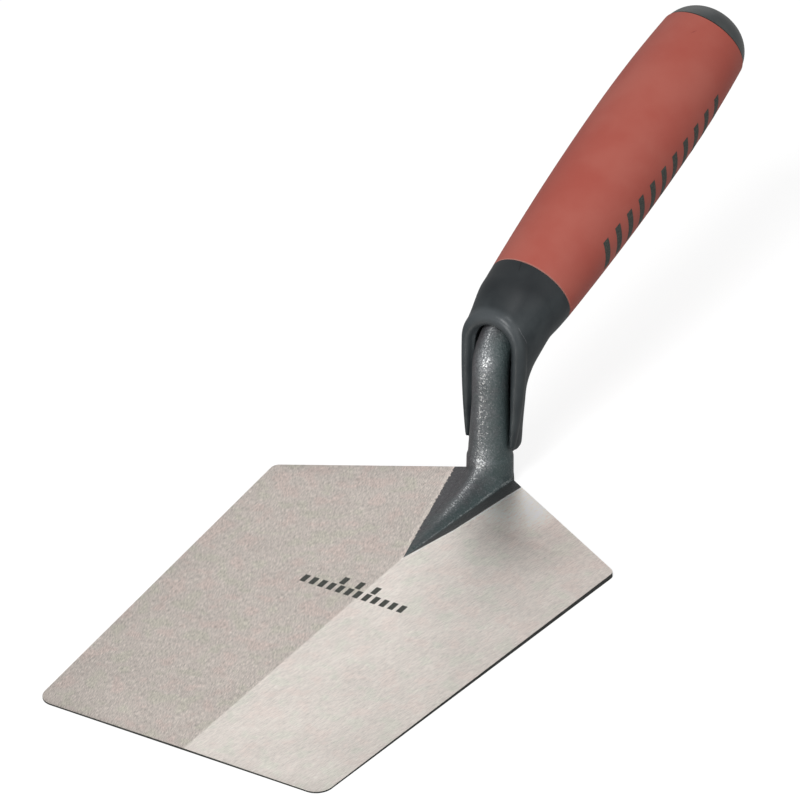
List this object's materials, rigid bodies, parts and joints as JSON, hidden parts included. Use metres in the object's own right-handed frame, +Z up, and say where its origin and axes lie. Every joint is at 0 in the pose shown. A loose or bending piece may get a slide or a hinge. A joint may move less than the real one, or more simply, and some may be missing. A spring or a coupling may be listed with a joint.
{
  "type": "masonry trowel",
  "caption": "Broad square-toed masonry trowel: forged steel blade, lug and bent shank, black finger guard and butt cap, red rubber grip.",
  "frame": {"origin": "under the middle of the tool's bounding box, on the flat underside of the blade", "axes": "+Z up from the blade's underside, +Y from the toe to the butt of the handle, X across the blade, which is symmetric about X = 0"},
  "size_m": [0.1268, 0.3154, 0.1065],
  "materials": {
    "forged_steel": "ground blade, dark forging scale on lug and shank",
    "core_plastic": "as moulded",
    "guard_plastic": "satin moulded",
    "grip_rubber": "soft matte rubber",
    "cap_plastic": "smooth moulded"
  },
  "bodies": {
    "root": {"blade_and_tang": "forged_steel", "handle_core": "core_plastic", "finger_guard": "guard_plastic", "grip_sleeve": "grip_rubber", "butt_cap": "cap_plastic"}
  },
  "joints": []
}
